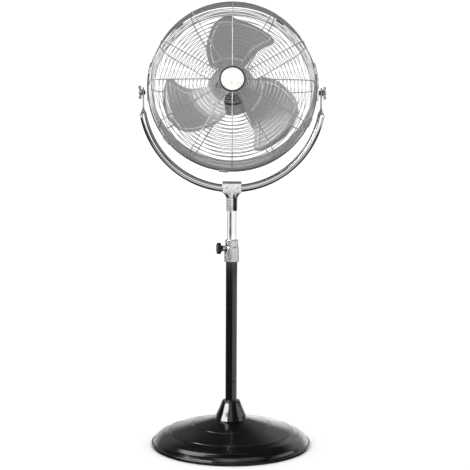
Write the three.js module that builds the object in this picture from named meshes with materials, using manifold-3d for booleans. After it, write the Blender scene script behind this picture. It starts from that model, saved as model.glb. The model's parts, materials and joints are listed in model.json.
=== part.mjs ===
// Pedestal fan: weighted round base, two-stage pole, U-shaped yoke and a caged three-blade head.
// Units are millimetres, +Z is up, the fan blows towards -Y, and the pole axis is the Z axis.
import * as THREE from 'three';
import { mergeVertices } from 'three/addons/utils/BufferGeometryUtils.js';
import Module from 'manifold-3d';

const wasm = await Module();
wasm.setup();

const GAP = 0.4;                 // air left between two separate pieces that touch
const ROUND = 32;                // facets of a large turned piece
const SMALL = 12;                // facets of a small turned piece

// Base
const BASE_R = 263;
const PLATEAU_Z = 85;            // flat top of the base cover, under the shroud
const SHEET = 2;                 // pressed steel of cover and shroud
const WEIGHT_BOTTOM = 6;
const WEIGHT_TOP = 38;
const FOOT_R = 16;
const FOOT_CIRCLE = 200;
const FOOT_COUNT = 5;
const SHROUD_TOP = 146;

// Poles and collar
const OUTER_R = 19;
const OUTER_BORE = 17.2;
const OUTER_TOP = 640;
const POLE_FOOT = 60;
const INNER_R = 16;
const INNER_BORE = 14.4;
const INNER_BOTTOM = 230;
const INNER_TOP = 828;
const COLLAR_BOTTOM = 605.6;
const COLLAR_STEP = 654.6;
const COLLAR_TOP = 678.8;
const KNOB_Z = 650;
const KNOB_TURN = 12;            // degrees the knob's axis is turned from -X towards the front
const KNOB_R = 18.5;

// Yoke
const YOKE_R = 293.4;            // centreline of the bent tube
const YOKE_CENTRE_Z = 1138.2;
const YOKE_TUBE_R = 12.5;
const YOKE_END = 10.7;           // degrees below the horizontal where the round tube ends
const TAB_X = 287.5;             // mid-plane of the flattened tube ends
const TAB_HALF = 2.5;
const TAB_DEPTH = 17;
const SLEEVE_R = 19;
const SLEEVE_BOTTOM = 772.7;
const BOX_BOTTOM = 829.5;
const BOX_TOP = 868.5;
const BOX_X = 31;
const BOX_Y = 17;

// Head: pivot, upward tilt of the stored pose, and the cage centre above the pivot
const PIVOT_Z = 1155;
const TILT = THREE.MathUtils.degToRad(11.3);
const HEAD_RISE = 17;
const STUD_R = 4.8;

// Cage, in fan coordinates: x right, y up, z forward, origin at the centre of the joint hoop
const RIM_R = 273.7;
const RIM_Z = 2.9;
const RIM_HALF = 2.3;
const SHOULDER_R = 258;
const GRILLE_R = 250; // each guard is parted here into a flat grille and a deep rim
const FRONT_SHOULDER_Z = 83;
const REAR_SHOULDER_Z = -40;
const RIBS = 12;
const RING_SEGMENTS = 36;
const HUB_PLATE_R = 43;
const REAR_PLATE_R = 72;

// Motor and rotor, in fan coordinates
const MOTOR_R = 80;
const MOTOR_FRONT = -8;
const MOTOR_REAR = -55;
const BELL_REAR = -63.6;
const POD_R = 58;
const POD_FRONT = -68;
const POD_REAR = -102;
const SHAFT_R = 6;
const BLADE_COUNT = 3;
const BLADE_HALF = 0.9;
// radius, then the angles of the anticlockwise and clockwise edge for the blade that stands upright
const BLADE_OUTLINE = [
  [34, 116, 66], [62, 126, 62], [80, 134, 60], [94, 138, 58.5], [120, 132, 59], [146, 125.5, 58],
  [170, 118.5, 55], [190, 113, 51.5], [208, 108, 49.5], [217, 104.5, 51.5], [222, 102, 56.5],
  [226, 99.5, 64], [229, 97, 72], [231, 92, 80],
];
const ROOT_ANGLES = [137.2, 59.2];

const COLOURS = {
  black_gloss: [0x0b0b0c, 0.12, 0.2],
  chrome: [0xd4d6d8, 0.08, 1.0],
  steel: [0xb4b6b8, 0.3, 1.0],
  aluminium: [0xa6a8aa, 0.35, 1.0],
  black_plastic: [0x101011, 0.45, 0.0],
  badge_white: [0xf2f1ec, 0.3, 0.0],
  motor_grey: [0x6d6f71, 0.4, 0.6],
  rubber: [0x161616, 0.8, 0.0],
  iron: [0x3a3a3c, 0.6, 0.8],
};

const fan = new THREE.Group();
fan.name = 'pedestal_fan';

// ---------- helpers ----------

function toSolid(geometry) {
  geometry.deleteAttribute('normal');
  geometry.deleteAttribute('uv');
  const merged = mergeVertices(geometry, 1e-3);
  const position = merged.attributes.position.array;
  const index = merged.index.array;
  const kept = [];
  let volume = 0;
  for (let i = 0; i < index.length; i += 3) {
    const corners = [index[i], index[i + 1], index[i + 2]];
    if (new Set(corners).size < 3) continue;
    kept.push(corners);
    const [a, b, c] = corners.map((k) => new THREE.Vector3().fromArray(position, 3 * k));
    volume += a.dot(b.cross(c));
  }
  if (volume < 0) kept.forEach((corners) => corners.reverse());
  return new wasm.Manifold(new wasm.Mesh({
    numProp: 3,
    vertProperties: Float32Array.from(position),
    triVerts: Uint32Array.from(kept.flat()),
  }));
}

function turned(profile, segments = ROUND) {
  const points = profile.map(([r, h]) => new THREE.Vector2(r, h));
  return toSolid(new THREE.LatheGeometry(points, segments).rotateX(Math.PI / 2));
}

function ring(inner, outer, low, high, segments = ROUND) {
  return turned([[inner, low], [outer, low], [outer, high], [inner, high], [inner, low]], segments);
}

function rod(from, to, radius, segments = SMALL, endRadius = radius) {
  const a = new THREE.Vector3(...from);
  const b = new THREE.Vector3(...to);
  const geometry = new THREE.CylinderGeometry(endRadius, radius, a.distanceTo(b), segments);
  const turn = new THREE.Quaternion().setFromUnitVectors(
    new THREE.Vector3(0, 1, 0),
    b.clone().sub(a).normalize(),
  );
  geometry.applyQuaternion(turn);
  geometry.translate(...a.add(b).multiplyScalar(0.5).toArray());
  return toSolid(geometry);
}

function box(low, high) {
  const size = low.map((value, k) => high[k] - value);
  const geometry = new THREE.BoxGeometry(...size);
  geometry.translate(...low.map((value, k) => value + size[k] / 2));
  return toSolid(geometry);
}

// A closed skin over a row of equal sections, each a loop of points.
function loft(sections) {
  const count = sections[0].length;
  const last = (sections.length - 1) * count;
  const index = [];
  for (let i = 0; i + 1 < sections.length; i += 1) {
    for (let k = 0; k < count; k += 1) {
      const a = i * count + k;
      const b = i * count + ((k + 1) % count);
      index.push(a, b, b + count, a, b + count, a + count);
    }
  }
  for (let k = 1; k + 1 < count; k += 1) {
    index.push(0, k + 1, k, last, last + k, last + k + 1);
  }
  const geometry = new THREE.BufferGeometry();
  geometry.setAttribute('position', new THREE.Float32BufferAttribute(sections.flat(2), 3));
  geometry.setIndex(index);
  return toSolid(geometry);
}

function extruded(outline, depth) {
  const shape = new THREE.Shape(outline.map(([x, y]) => new THREE.Vector2(x, y)));
  return new THREE.ExtrudeGeometry(shape, { depth, bevelEnabled: false });
}

function addPiece(name, solid, look) {
  const { numProp, vertProperties, triVerts } = solid.getMesh();
  if (numProp !== 3) throw new Error(name);
  const geometry = new THREE.BufferGeometry();
  geometry.setAttribute('position', new THREE.Float32BufferAttribute(vertProperties, 3));
  geometry.setIndex(Array.from(triVerts));
  geometry.computeVertexNormals();
  const [color, roughness, metalness] = COLOURS[look];
  const mesh = new THREE.Mesh(geometry, new THREE.MeshStandardMaterial({ color, roughness, metalness }));
  mesh.name = name;
  fan.add(mesh);
}

// Carries a solid from fan coordinates to its place on the tilted head.
function onHead(solid) {
  const place = new THREE.Matrix4().makeTranslation(0, 0, PIVOT_Z)
    .multiply(new THREE.Matrix4().makeRotationX(-TILT))
    .multiply(new THREE.Matrix4().makeTranslation(0, 0, HEAD_RISE))
    .multiply(new THREE.Matrix4().makeRotationX(Math.PI / 2));
  return solid.transform(place.toArray());
}

function mirroredX(solid) {
  return solid.mirror([1, 0, 0]);
}

const polar = (radius, degrees) => {
  const angle = THREE.MathUtils.degToRad(degrees);
  return [radius * Math.cos(angle), radius * Math.sin(angle)];
};

// ---------- base ----------

function addBase() {
  const top = [
    [20.4, PLATEAU_Z], [52, PLATEAU_Z], [60, 84], [126, 68.2], [130, 66.2], [134, 64.9], [200, 47.6],
    [205, 45.2], [210, 43.2], [226, 38.6], [240, 31.4], [251, 22.4], [258, 13.5], [BASE_R, 10.5],
  ];
  const under = [
    [BASE_R, 3], [261, 1.2], [257.5, 1.2], [256.4, 12], [249, 20.8], [238.6, 29.6], [225, 36.4],
    [200, 45.4], [128, 64.2], [58, 81.8], [52, PLATEAU_Z - SHEET], [20.4, PLATEAU_Z - SHEET], [20.4, PLATEAU_Z],
  ];
  addPiece('base_cover', turned([...top, ...under], 36), 'black_gloss');

  const weight = turned([
    [6.6, WEIGHT_BOTTOM], [235, WEIGHT_BOTTOM], [236, 7], [235, 10.5], [46, 10.5], [38, WEIGHT_TOP],
    [6.6, WEIGHT_TOP], [6.6, WEIGHT_BOTTOM],
  ]);
  addPiece('base_weight', weight, 'iron');

  for (let i = 0; i < FOOT_COUNT; i += 1) {
    const [x, y] = polar(FOOT_CIRCLE, -90 + (360 / FOOT_COUNT) * i);
    const foot = turned([[0, 0], [FOOT_R - 2, 0], [FOOT_R, WEIGHT_BOTTOM - GAP], [0, WEIGHT_BOTTOM - GAP]], SMALL);
    addPiece(`foot_${i + 1}`, foot.translate([x, y, 0]), 'rubber');
  }

  const low = WEIGHT_TOP + GAP;
  const flange = turned([
    [6.4, low], [27, low], [27, 76], [48, 76], [48, PLATEAU_Z - SHEET - GAP],
    [OUTER_R + GAP, PLATEAU_Z - SHEET - GAP], [OUTER_R + GAP, POLE_FOOT - GAP], [6.4, POLE_FOOT - GAP], [6.4, low],
  ], 32);
  addPiece('pole_flange', flange, 'iron');

  const head = rod([0, 0, 1.5], [0, 0, WEIGHT_BOTTOM - GAP], 13, 6);
  addPiece('base_bolt', head.add(rod([0, 0, 4], [0, 0, 55], 6)), 'steel');

  const shroud = turned([
    [19.6, SHROUD_TOP], [28.2, SHROUD_TOP], [30, 144.6], [31.4, 140], [35.6, 129], [42, 114], [49, 99.5],
    [52.8, 89], [54.2, PLATEAU_Z + GAP], [51.9, PLATEAU_Z + GAP], [50.6, 89], [46.9, 99], [39.9, 113.4],
    [33.5, 128], [29.3, 139], [27.6, SHROUD_TOP - SHEET], [19.6, SHROUD_TOP - SHEET], [19.6, SHROUD_TOP],
  ], 28);
  addPiece('base_shroud', shroud, 'black_gloss');
}

// ---------- poles, collar and its knob ----------

function knobPoint(distance) {
  const [x, y] = polar(distance, 180 + KNOB_TURN);
  return [x, y, KNOB_Z];
}

function addPoles() {
  const screwAngle = -65;
  const [sx, sy] = polar(1, screwAngle);
  const screwZ = 211;
  const along = (r) => [sx * r, sy * r, screwZ];
  const pole = ring(OUTER_BORE, OUTER_R, POLE_FOOT, OUTER_TOP, 32);
  addPiece('outer_pole', pole.subtract(rod(along(15), along(22), 2.5, 12)), 'black_gloss');
  addPiece('pole_screw', rod(along(17.4), along(20), 2.1, 12).add(rod(along(19.3), along(20.6), 3.6, 12)), 'steel');

  addPiece('inner_pole', ring(INNER_BORE, INNER_R, INNER_BOTTOM, INNER_TOP, 32), 'chrome');

  const bushBottom = 645;
  const bushTop = 675;
  const collar = turned([
    [24, COLLAR_BOTTOM], [25, COLLAR_BOTTOM + 1], [25, COLLAR_STEP - 1.4], [23.8, COLLAR_STEP], [22.4, COLLAR_STEP + 0.6],
    [22.4, COLLAR_TOP - 1.2], [21.2, COLLAR_TOP], [16.6, COLLAR_TOP], [16.6, bushTop + GAP], [18.8, bushTop + GAP],
    [18.8, bushBottom - GAP], [16.6, bushBottom - GAP], [16.6, OUTER_TOP + GAP], [OUTER_R + GAP, OUTER_TOP + GAP],
    [OUTER_R + GAP, COLLAR_BOTTOM], [24, COLLAR_BOTTOM],
  ], 28);
  const boss = rod(knobPoint(21), knobPoint(31), 9, SMALL);
  addPiece('height_collar', collar.add(boss).subtract(rod(knobPoint(18), knobPoint(33), 4.5, SMALL)), 'steel');
  addPiece('clamp_bush', ring(INNER_R + GAP, 18.4, bushBottom, bushTop, 32), 'black_plastic');

  const lobes = [];
  for (let i = 0; i < 48; i += 1) {
    const dip = 1.9 * (1 + Math.cos((i / 48) * 6 * 2 * Math.PI));
    lobes.push(polar(KNOB_R - dip, (360 / 48) * i));
  }
  const grip = toSolid(extruded(lobes, 14).rotateY(-Math.PI / 2).rotateZ(THREE.MathUtils.degToRad(KNOB_TURN)))
    .translate(knobPoint(36));
  const knob = grip.add(rod(knobPoint(31.5), knobPoint(37), 8, SMALL)).add(rod(knobPoint(19.4), knobPoint(33), 4, 12));
  addPiece('height_knob', knob, 'black_plastic');
}

// ---------- yoke ----------

function yokeSections(radius) {
  const sections = [];
  const facets = 12;
  const steps = 24;
  const section = (x, z, nx, nz, half, depth) => {
    const loop = [];
    for (let k = 0; k < facets; k += 1) {
      const [c, s] = polar(1, (360 / facets) * k);
      loop.push([x + nx * half * c, depth * s, z + nz * half * c]);
    }
    sections.push(loop);
  };
  const tabs = [[TAB_X, PIVOT_Z + 16, TAB_HALF, 10], [TAB_X, PIVOT_Z + 10, TAB_HALF, 14.6],
    [TAB_X, PIVOT_Z, TAB_HALF, TAB_DEPTH], [TAB_X, 1107, TAB_HALF, TAB_DEPTH], [287.2, 1095, 7, 15]];
  tabs.forEach(([x, z, half, depth]) => section(x, z, 1, 0, half, depth));
  for (let i = 0; i <= steps; i += 1) {
    const [c, s] = polar(1, -YOKE_END - ((180 - 2 * YOKE_END) / steps) * i);
    section(YOKE_R * c, YOKE_CENTRE_Z + YOKE_R * s, c, s, radius, radius);
  }
  tabs.reverse().forEach(([x, z, half, depth]) => section(-x, z, -1, 0, half, depth));
  return sections;
}

function addYoke() {
  const hole = rod([-300, 0, PIVOT_Z], [300, 0, PIVOT_Z], STUD_R + 0.5, SMALL);
  addPiece('yoke_tube', loft(yokeSections(YOKE_TUBE_R)).subtract(hole), 'chrome');

  const gusset = [[-29, 831], [-26, 823], [-21, 817], [-18, 812], [18, 812], [21, 817], [26, 823], [29, 831]];
  const web = toSolid(extruded(gusset, 16).rotateX(Math.PI / 2)).translate([0, 8, 0]);
  const rivets = [-18, 18].map((x) => [x, 850]);
  const screws = [783, 817];
  let socket = box([-BOX_X, -BOX_Y, BOX_BOTTOM], [BOX_X, BOX_Y, BOX_TOP])
    .add(rod([0, 0, SLEEVE_BOTTOM], [0, 0, BOX_BOTTOM + 2], SLEEVE_R, 32))
    .add(web)
    .subtract(rod([0, 0, SLEEVE_BOTTOM - 5], [0, 0, INNER_TOP + GAP], INNER_R + GAP, 32))
    .subtract(loft(yokeSections(YOKE_TUBE_R + 0.6)));
  for (const [x, z] of rivets) {
    socket = socket.subtract(rod([x, -BOX_Y - 2, z], [x, -14, z], 2.4, 12));
  }
  for (const z of screws) {
    socket = socket.subtract(rod([0, -24, z], [0, -12, z], 2.4, 12));
  }
  addPiece('yoke_socket', socket, 'steel');

  rivets.forEach(([x, z], i) => {
    const shank = rod([x, -BOX_Y - 0.8, z], [x, -14.4, z], 2, 12);
    const head = rod([x, -BOX_Y - GAP, z], [x, -BOX_Y - 1.8, z], 3.8, 12, 2.4);
    addPiece(`socket_rivet_${i + 1}`, shank.add(head), 'steel');
  });
  screws.forEach((z, i) => {
    const shank = rod([0, -20, z], [0, -16.5, z], 2, 12);
    const head = rod([0, -SLEEVE_R - GAP, z], [0, -21.6, z], 4, 12, 3.2);
    addPiece(`socket_screw_${i + 1}`, shank.add(head), 'steel');
  });
}

// ---------- tilt pivots ----------

function wingNut(side) {
  const hub = rod([293, 0, PIVOT_Z], [302, 0, PIVOT_Z], 8, SMALL, 6.4);
  let nut = hub;
  for (const way of [1, -1]) {
    const wing = box([294, -1.4, 3], [300, 1.4, 20])
      .add(rod([299, -1.4, 18], [299, 1.4, 18], 5.5, 12))
      .rotate([way > 0 ? 20 : 200, 0, 0])
      .translate([0, 0, PIVOT_Z]);
    nut = nut.add(wing);
  }
  nut = nut.subtract(rod([290, 0, PIVOT_Z], [306, 0, PIVOT_Z], STUD_R + 0.3, SMALL));
  return side > 0 ? nut : mirroredX(nut);
}

function hoopBand(fromDegrees, toDegrees, inner, outer, half) {
  const steps = Math.max(1, Math.round((toDegrees - fromDegrees) / 4));
  const sections = [];
  for (let i = 0; i <= steps; i += 1) {
    const angle = fromDegrees + ((toDegrees - fromDegrees) / steps) * i;
    const [xi, yi] = polar(inner, angle);
    const [xo, yo] = polar(outer, angle);
    sections.push([[xi, yi, -half], [xo, yo, -half], [xo, yo, half], [xi, yi, half]]);
  }
  return loft(sections);
}

// A C-shaped hook that straddles the two rim wires.
function hook(degrees, length) {
  const inner = RIM_R + RIM_HALF + 0.8;
  const outer = inner + 1.8;
  const near = RIM_Z + RIM_HALF + 0.5;
  const far = near + 1.6;
  const outline = [[268, near], [inner, near], [inner, -near], [268, -near], [268, -far], [outer, -far], [outer, far], [268, far]];
  const bar = extruded(outline, length).translate(0, 0, -length / 2).rotateX(-Math.PI / 2);
  return toSolid(bar.rotateX(Math.PI)).rotate([0, 0, degrees]);
}

function addPivots() {
  const plateInner = RIM_R + RIM_HALF + 0.9;
  const plateOuter = plateInner + 3;
  const pivotDegrees = THREE.MathUtils.radToDeg(Math.asin(-HEAD_RISE / plateOuter));
  const plate = hoopBand(pivotDegrees - 5, 17, plateInner, plateOuter, 11).add(hook(11.5, 24));
  const stud = rod([277.6, 0, PIVOT_Z], [304, 0, PIVOT_Z], STUD_R, SMALL);
  const bracket = onHead(plate).add(stud);
  const spacer = rod([280.9, 0, PIVOT_Z], [284.5, 0, PIVOT_Z], 7.5, 20)
    .subtract(rod([270, 0, PIVOT_Z], [290, 0, PIVOT_Z], STUD_R + GAP, SMALL));
  const washer = rod([290.4, 0, PIVOT_Z], [292.6, 0, PIVOT_Z], 10, 20)
    .subtract(rod([280, 0, PIVOT_Z], [296, 0, PIVOT_Z], STUD_R + 0.5, SMALL));
  for (const [side, name] of [[1, 'right'], [-1, 'left']]) {
    const placed = (solid) => (side > 0 ? solid : mirroredX(solid));
    addPiece(`pivot_bracket_${name}`, placed(bracket), 'chrome');
    addPiece(`pivot_spacer_${name}`, placed(spacer), 'black_plastic');
    addPiece(`pivot_washer_${name}`, placed(washer), 'black_plastic');
    addPiece(`wing_nut_${name}`, wingNut(side), 'chrome');
  }
}

// ---------- cage ----------

function wireRing(radius, z, half) {
  return ring(radius - half, radius + half, z - half, z + half, RING_SEGMENTS);
}

function rib(path, degrees) {
  const half = 2;
  const [c, s] = polar(1, degrees);
  const sections = path.map(([r, z], i) => {
    const before = path[Math.max(i - 1, 0)];
    const after = path[Math.min(i + 1, path.length - 1)];
    const along = new THREE.Vector2(after[0] - before[0], after[1] - before[1]).normalize();
    return [[-1, -1], [1, -1], [1, 1], [-1, 1]].map(([u, v]) => {
      const radius = r - along.y * half * v;
      return [radius * c - s * half * u, radius * s + c * half * u, z + along.x * half * v];
    });
  });
  return loft(sections);
}

function addGuards() {
  const faceRings = [115, 190];
  const frontZ = (r) => 103 - 7 * (r / 190) ** 2;
  const rearZ = (r) => -66 + 8 * (r / 190) ** 2;

  const frontPath = [[41, 104.4], [115, frontZ(115) + 1.8], [190, frontZ(190) + 1.8], [247, 88.4],
    [257.4, 85.6], [260.6, 80.6], [RIM_R - 0.4, RIM_Z]];
  let front = turned([[0, 101.4], [HUB_PLATE_R, 101.4], [HUB_PLATE_R, 104.6], [41, 105.6], [0, 105.6]], 24)
    .add(wireRing(SHOULDER_R, FRONT_SHOULDER_Z, RIM_HALF))
    .add(wireRing(RIM_R, RIM_Z, RIM_HALF));
  faceRings.forEach((r) => { front = front.add(wireRing(r, frontZ(r), 1.6)); });

  const rearPath = [[60, -66], [115, rearZ(115) - 1.8], [190, rearZ(190) - 1.8], [247, -46.4],
    [257.4, -43], [260.6, -38], [RIM_R - 0.4, -RIM_Z]];
  let rear = ring(20, REAR_PLATE_R, -67.6, -64.4, 32)
    .add(wireRing(SHOULDER_R, REAR_SHOULDER_Z, RIM_HALF))
    .add(wireRing(RIM_R, -RIM_Z, RIM_HALF));
  faceRings.forEach((r) => { rear = rear.add(wireRing(r, rearZ(r), 1.6)); });

  for (let i = 0; i < RIBS; i += 1) {
    const degrees = (360 / RIBS) * i;
    front = front.add(rib(frontPath, degrees));
    rear = rear.add(rib(rearPath, degrees));
  }
  motorBoltPlaces().forEach(([x, y]) => {
    rear = rear.subtract(rod([x, y, -75], [x, y, -60], 3.4, 12));
  });
  const core = rod([0, 0, -120], [0, 0, 140], GRILLE_R, 48);
  addPiece('front_grille', onHead(front.intersect(core)), 'chrome');
  addPiece('front_rim', onHead(front.subtract(core)), 'chrome');
  addPiece('rear_grille', onHead(rear.intersect(core)), 'chrome');
  addPiece('rear_rim', onHead(rear.subtract(core)), 'chrome');

  [55, 130, 219.5, 264.5, 335.5].forEach((degrees, i) => {
    addPiece(`guard_clip_${i + 1}`, onHead(hook(degrees, 30)), 'chrome');
  });

  const badgeRing = turned([[36.9, 106], [39.4, 106], [39.4, 108.4], [38.6, 109.2], [36.9, 109.2], [36.9, 106]], 32);
  const badge = turned([[0, 106], [36.5, 106], [36.5, 108.6], [30, 109.8], [15, 110.8], [0, 111.1]], 32);
  addPiece('badge_ring', onHead(badgeRing), 'black_plastic');
  addPiece('badge', onHead(badge), 'badge_white');
}

// ---------- motor ----------

function motorBoltPlaces() {
  return [45, 135, 225, 315].map((degrees) => polar(65, degrees));
}

function addMotor() {
  const wall = 3;
  const inside = MOTOR_R - wall;
  const housing = turned([
    [MOTOR_R, MOTOR_REAR], [MOTOR_R, MOTOR_FRONT - 11], [77, MOTOR_FRONT - 5], [70, MOTOR_FRONT - 2],
    [22, MOTOR_FRONT], [20, MOTOR_FRONT + 6], [SHAFT_R + 0.5, MOTOR_FRONT + 6], [SHAFT_R + 0.5, MOTOR_FRONT - 6],
    [20, MOTOR_FRONT - 6], [21, MOTOR_FRONT - wall], [68, MOTOR_FRONT - 2 - wall], [74, MOTOR_FRONT - 8],
    [inside, MOTOR_FRONT - 13], [inside, MOTOR_REAR], [MOTOR_R, MOTOR_REAR],
  ], 36);
  addPiece('motor_housing', onHead(housing), 'motor_grey');
  const coreFront = MOTOR_FRONT - 15;
  const coreRear = MOTOR_REAR + 4;
  addPiece('motor_stator', onHead(ring(42, inside - GAP, coreRear, coreFront, 32)), 'iron');

  let bell = turned([[20, MOTOR_REAR - GAP], [MOTOR_R - 2, MOTOR_REAR - GAP], [MOTOR_R - 4, MOTOR_REAR - 4],
    [74, BELL_REAR], [0, BELL_REAR], [0, MOTOR_REAR - 6], [SHAFT_R + 0.5, MOTOR_REAR - 6],
    [SHAFT_R + 0.5, MOTOR_REAR + 1], [16, MOTOR_REAR + 1], [20, MOTOR_REAR - GAP]], 36);
  motorBoltPlaces().forEach(([x, y]) => {
    bell = bell.subtract(rod([x, y, BELL_REAR - 4], [x, y, MOTOR_REAR - 2], 3.4, 10));
  });
  addPiece('motor_end_bell', onHead(bell), 'motor_grey');
  motorBoltPlaces().forEach(([x, y], i) => {
    const bolt = rod([x, y, MOTOR_REAR - 3], [x, y, -69], 3, 12).add(rod([x, y, -68], [x, y, -72], 5.5, 6));
    addPiece(`motor_bolt_${i + 1}`, onHead(bolt), 'steel');
  });

  const knobY = 18;
  const glandY = -POD_R;
  const glandZ = -86;
  const pod = turned([[0, POD_FRONT], [POD_R - 1, POD_FRONT], [POD_R, POD_FRONT - 1.5], [POD_R - 3, POD_REAR + 8],
    [POD_R - 9, POD_REAR + 1.5], [POD_R - 14, POD_REAR], [0, POD_REAR]], 32)
    .subtract(rod([0, knobY, POD_REAR - 4], [0, knobY, POD_REAR + 12], 4, SMALL))
    .subtract(rod([0, glandY - 6, glandZ], [0, glandY + 14, glandZ], 6.6, SMALL));
  addPiece('control_pod', onHead(pod), 'black_plastic');

  const knob = rod([0, knobY, POD_REAR + 10], [0, knobY, POD_REAR - 4], 3.5, SMALL)
    .add(rod([0, knobY, POD_REAR - GAP], [0, knobY, POD_REAR - 13], 14, 24, 12.6))
    .add(box([-2, knobY + 4, POD_REAR - 14.4], [2, knobY + 12, POD_REAR - 12]));
  addPiece('speed_knob', onHead(knob), 'black_plastic');

  const gland = rod([0, glandY + 12, glandZ], [0, glandY - 12, glandZ], 6.2, SMALL)
    .add(rod([0, glandY - 3, glandZ], [0, glandY - 8, glandZ], 9, 6))
    .subtract(rod([0, glandY + 6, glandZ], [0, glandY - 14, glandZ], 4, SMALL));
  addPiece('cord_gland', onHead(gland), 'black_plastic');
}

// ---------- rotor ----------

// Forward position of the blade surface: u runs from -1 at the anticlockwise edge, which stands
// forward, to 1 at the clockwise edge, which leads as the fan turns.
function bladeHeight(radius, u) {
  const middle = 18 - 18 * THREE.MathUtils.smoothstep(radius, 60, 140);
  const sweep = 10 + 20 * THREE.MathUtils.smoothstep(radius, 60, 150);
  return middle - sweep * u - 5 * (1 - u * u);
}

// The same, for a point near the root, where the edges run at nearly fixed angles.
function rootHeight(x, y) {
  const degrees = THREE.MathUtils.radToDeg(Math.atan2(y, x));
  const [from, to] = ROOT_ANGLES;
  return bladeHeight(Math.hypot(x, y), -1 + (2 * (from - degrees)) / (from - to));
}

function bladeSolid() {
  const columns = 8;
  const sections = BLADE_OUTLINE.map(([radius, from, to]) => {
    const row = (offset) => {
      const points = [];
      for (let k = 0; k <= columns; k += 1) {
        const u = -1 + (2 * k) / columns;
        const [x, y] = polar(radius, from + ((to - from) * k) / columns);
        points.push([x, y, bladeHeight(radius, u) + offset]);
      }
      return points;
    };
    return [...row(BLADE_HALF), ...row(-BLADE_HALF).reverse()];
  });
  return sections;
}

// The two faces of a blade share their rows, so each end cap is a strip between them.
function skinBlade(sections) {
  const count = sections[0].length;
  const last = (sections.length - 1) * count;
  const index = [];
  for (let i = 0; i + 1 < sections.length; i += 1) {
    for (let k = 0; k < count; k += 1) {
      const a = i * count + k;
      const b = i * count + ((k + 1) % count);
      index.push(a, b, b + count, a, b + count, a + count);
    }
  }
  for (let k = 0; k < count / 2 - 1; k += 1) {
    const m = count - 1 - k;
    index.push(k, m, m - 1, k, m - 1, k + 1);
    index.push(last + k, last + m - 1, last + m, last + k, last + k + 1, last + m - 1);
  }
  const geometry = new THREE.BufferGeometry();
  geometry.setAttribute('position', new THREE.Float32BufferAttribute(sections.flat(2), 3));
  geometry.setIndex(index);
  return toSolid(geometry);
}

function addRotor() {
  addPiece('motor_shaft', onHead(rod([0, 0, MOTOR_REAR - 5], [0, 0, 36], SHAFT_R, SMALL)), 'steel');
  const core = ring(SHAFT_R + GAP, 40.5, MOTOR_REAR + 5, MOTOR_FRONT - 16, 32);
  addPiece('rotor_core', onHead(core), 'iron');

  const blade = skinBlade(bladeSolid());
  let spider = ring(SHAFT_R + GAP, 20, 6, 32, 24);
  for (let i = 0; i < BLADE_COUNT; i += 1) {
    const turn = (360 / BLADE_COUNT) * i;
    let piece = blade;
    let arm = box([-16, 10, 7.4], [16, 30, 10]);
    [[-22, 78], [0, 84], [22, 78]].forEach(([x, y]) => {
      const z = rootHeight(x, y);
      piece = piece.add(rod([x, y, z - 0.4], [x, y, z + 2.6], 3.6, 8, 2.4));
    });
    const armPoints = [30, 60, 92];
    const sections = armPoints.map((radius) => {
      const half = THREE.MathUtils.lerp(16, 26, (radius - 30) / 62);
      const loop = (offset) => [-1, -0.5, 0, 0.5, 1].map((side) => {
        const x = half * side;
        return [x, radius, rootHeight(x, radius) + offset];
      });
      return [...loop(-2.9), ...loop(-5.4).reverse()];
    });
    arm = arm.add(skinBlade(sections));
    spider = spider.add(arm.rotate([0, 0, turn]));
    addPiece(`blade_${i + 1}`, onHead(piece.rotate([0, 0, turn])), 'aluminium');
  }
  addPiece('hub_spider', onHead(spider), 'steel');
  const cap = turned([[0, 36.4], [12, 36.4], [12, 40], [8, 45], [0, 46]], 20).add(ring(SHAFT_R + GAP, 12, 32.4, 37, 20));
  addPiece('hub_cap', onHead(cap), 'black_plastic');
}

addBase();
addPoles();
addYoke();
addPivots();
addGuards();
addMotor();
addRotor();

export default fan;
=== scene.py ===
"""Looks for the pedestal fan: wire guards, pressed blades, chrome yoke and gloss black stand."""
import json
import math

import bpy
from mathutils import Matrix, Vector


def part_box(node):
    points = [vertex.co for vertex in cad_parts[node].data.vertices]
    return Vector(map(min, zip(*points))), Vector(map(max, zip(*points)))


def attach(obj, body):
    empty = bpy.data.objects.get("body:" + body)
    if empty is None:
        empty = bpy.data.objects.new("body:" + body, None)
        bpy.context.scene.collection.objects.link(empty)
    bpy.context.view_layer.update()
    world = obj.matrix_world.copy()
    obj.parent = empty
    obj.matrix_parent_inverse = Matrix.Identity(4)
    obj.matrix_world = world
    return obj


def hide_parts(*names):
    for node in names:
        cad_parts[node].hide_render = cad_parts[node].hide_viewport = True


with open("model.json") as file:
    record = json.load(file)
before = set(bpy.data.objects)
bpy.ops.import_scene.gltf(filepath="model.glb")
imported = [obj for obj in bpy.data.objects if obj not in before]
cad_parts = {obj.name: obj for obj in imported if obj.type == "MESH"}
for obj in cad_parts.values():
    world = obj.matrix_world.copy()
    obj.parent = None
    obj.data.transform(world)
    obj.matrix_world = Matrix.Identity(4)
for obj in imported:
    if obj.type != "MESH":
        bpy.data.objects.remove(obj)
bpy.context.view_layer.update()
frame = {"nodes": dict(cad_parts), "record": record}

MM = 0.001
TAU = 2 * math.pi

# ---------- sizes in millimetres, angles in degrees; the head's own axes come from the record ----------

JOINTS = {joint["name"]: joint for joint in frame["record"]["behaviour"]["joints"]}
PIVOT = Vector(JOINTS["head_tilt"]["pos_m"])
FORWARD = Vector(JOINTS["blade_spin"]["axis"]).normalized()
ROTOR_Z = 20.0
FAN_ORIGIN = Vector(JOINTS["blade_spin"]["pos_m"]) - FORWARD * ROTOR_Z * MM
RIGHT = Vector((1, 0, 0))
HEAD_RISE = (FAN_ORIGIN - PIVOT).length / MM
PIVOT_Z = PIVOT.z / MM

# Shapes are drawn in millimetres, in fan coordinates (x right, y up, z forward) or stand coordinates (z up).
FAN = (Matrix.Translation(FAN_ORIGIN)
       @ Matrix((RIGHT, FORWARD.cross(RIGHT), FORWARD)).transposed().to_4x4()
       @ Matrix.Scale(MM, 4))
STAND = Matrix.Scale(MM, 4)

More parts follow.
